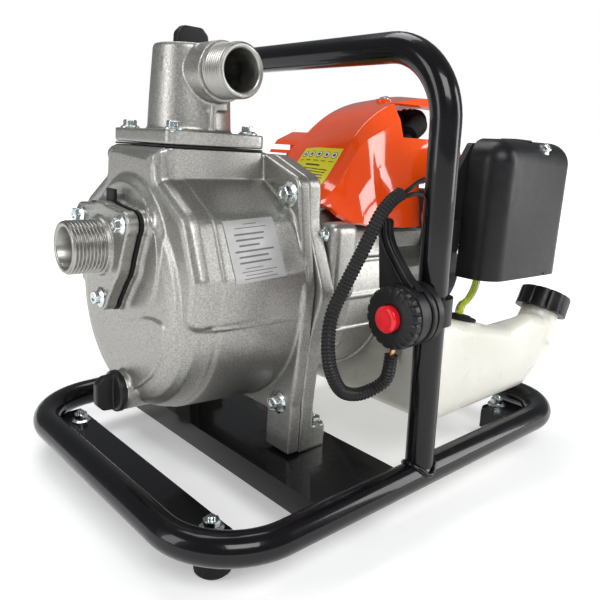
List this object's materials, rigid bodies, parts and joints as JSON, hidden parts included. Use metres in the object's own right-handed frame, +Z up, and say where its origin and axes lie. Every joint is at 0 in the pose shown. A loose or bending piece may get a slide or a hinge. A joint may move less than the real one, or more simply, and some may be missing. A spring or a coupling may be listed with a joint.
{
  "type": "portable fire pump",
  "caption": "Portable fire pump: a small petrol engine and self-priming pump in a tube carrying frame with an arched handle, suction and discharge ports, and a fuel tank below.",
  "frame": {"origin": "bottom centre of the bounding box, on the floor under the feet", "axes": "+X along the crankshaft, away from the suction port; +Y away from the operator's side; +Z up"},
  "size_m": [0.424, 0.3036, 0.3266],
  "materials": {
    "black_painted_steel": "gloss black stove paint",
    "cast_aluminium": "as cast",
    "machined_steel": "machined",
    "zinc_bolts": "bright zinc plate",
    "black_plastic": "satin",
    "black_rubber": "matte",
    "orange_plastic": "gloss",
    "red_plastic": "gloss",
    "tank_plastic": "satin",
    "fuel_hose": "gloss",
    "clear_hose": "gloss",
    "filter_foam": "open foam"
  },
  "bodies": {
    "pump_unit": {"base_loop": "black_painted_steel", "carburettor": "cast_aluminium", "casing_bolt_lower_near": "zinc_bolts", "casing_bolt_upper_near": "zinc_bolts", "connecting_rod": "machined_steel", "cover_screw": "zinc_bolts", "crankcase": "cast_aluminium", "cylinder": "cast_aluminium", "discharge_elbow": "cast_aluminium", "engine_cover": "orange_plastic", "fan_housing": "cast_aluminium", "filter_base": "black_plastic", "filter_cover": "black_plastic", "filter_element": "filter_foam", "foot_front_far": "black_rubber", "foot_front_near": "black_rubber", "foot_rear_far": "black_rubber", "foot_rear_near": "black_rubber", "front_foot_bar": "black_painted_steel", "fuel_line": "fuel_hose", "fuel_tank": "tank_plastic", "handle_hoop": "black_painted_steel", "ignition_coil": "black_plastic", "intake_insulator": "black_plastic", "muffler": "machined_steel", "muffler_guard": "orange_plastic", "outlet_gasket": "black_rubber", "piston": "cast_aluminium", "plug_boot": "black_rubber", "primer_bulb": "clear_hose", "pump_adaptor": "cast_aluminium", "pump_casing": "cast_aluminium", "pump_plate": "black_painted_steel", "rear_foot_bracket_far": "black_painted_steel", "rear_foot_bracket_near": "black_painted_steel", "return_line": "clear_hose", "shaft_seal": "black_rubber", "spark_plug": "machined_steel", "starter_housing": "black_plastic", "suction_flange": "cast_aluminium", "suction_gasket": "black_rubber", "switch_clamp": "black_plastic", "switch_dial": "black_plastic", "tank_grommet": "black_rubber", "volute_insert": "cast_aluminium", "wire_conduit": "black_plastic"},
    "crankshaft": {"crankshaft_front": "machined_steel", "crankshaft_rear": "machined_steel", "impeller": "cast_aluminium", "flywheel_fan": "cast_aluminium"},
    "check_flap": {"check_flap": "black_rubber"},
    "filler_plug": {"filler_plug": "black_plastic"},
    "drain_plug": {"drain_plug": "black_plastic"},
    "fuel_cap": {"fuel_cap": "black_plastic"},
    "throttle_lever": {"throttle_lever": "black_plastic"},
    "throttle_arm": {"throttle_arm": "machined_steel"},
    "stop_button": {"stop_button": "red_plastic"},
    "choke_lever": {"choke_lever": "black_plastic"},
    "starter_reel": {"starter_reel": "black_plastic"},
    "pull_grip": {"pull_grip": "black_plastic"}
  },
  "joints": [
    {"name": "crank_spin", "type": "hinge", "parent": "pump_unit", "child": "crankshaft", "pos_m": [-0.0159, 0.0044, 0.14839], "axis": [0.9991, 0, -0.0419], "continuous": true},
    {"name": "check_flap_swing", "type": "hinge", "parent": "pump_unit", "child": "check_flap", "pos_m": [-0.1744, 0.0019, 0.20408], "axis": [0, -1, 0], "range_deg": [0, 50], "stiffness_Nm_per_rad": 0.002},
    {"name": "filler_plug_turn", "type": "hinge", "parent": "pump_unit", "child": "filler_plug", "pos_m": [-0.11825, 0.0044, 0.30932], "axis": [0.0419, 0, 0.9991], "range_deg": [0, 360]},
    {"name": "drain_plug_turn", "type": "hinge", "parent": "pump_unit", "child": "drain_plug", "pos_m": [-0.18043, 0.0004, 0.09123], "axis": [-0.9991, 0, 0.0419], "range_deg": [0, 360]},
    {"name": "fuel_cap_turn", "type": "hinge", "parent": "pump_unit", "child": "fuel_cap", "pos_m": [0.1892, -0.0956, 0.118], "axis": [0.45, 0, 0.893], "range_deg": [0, 360]},
    {"name": "throttle_lever_turn", "type": "hinge", "parent": "pump_unit", "child": "throttle_lever", "pos_m": [-0.05, -0.1316, 0.1525], "axis": [1, 0, 0], "range_deg": [0, 60]},
    {"name": "throttle_arm_turn", "type": "hinge", "parent": "pump_unit", "child": "throttle_arm", "pos_m": [0.07517, -0.0646, 0.21974], "axis": [0.0419, 0, 0.9991], "range_deg": [0, 45]},
    {"name": "stop_button_press", "type": "slide", "parent": "pump_unit", "child": "stop_button", "axis": [1, 0, 0], "range_m": [0, 0.0035], "stiffness_N_per_m": 400},
    {"name": "choke_lever_turn", "type": "hinge", "parent": "pump_unit", "child": "choke_lever", "pos_m": [0.05613, -0.0861, 0.19522], "axis": [0, 1, 0], "range_deg": [0, 60]},
    {"name": "pull_grip_draw", "type": "slide", "parent": "pump_unit", "child": "pull_grip", "axis": [0, 1, 0], "range_m": [0, 0.5]},
    {"name": "starter_reel_turn", "type": "hinge", "parent": "pump_unit", "child": "starter_reel", "pos_m": [0.11699, 0.0044, 0.14282], "axis": [-0.9991, 0, 0.0419], "range_deg": [0, 1025]}
  ],
  "couplings": [
    {"joint": "throttle_arm_turn", "follows": "throttle_lever_turn", "ratio": 0.75},
    {"joint": "starter_reel_turn", "follows": "pull_grip_draw", "rad_per_m": 35.714}
  ]
}
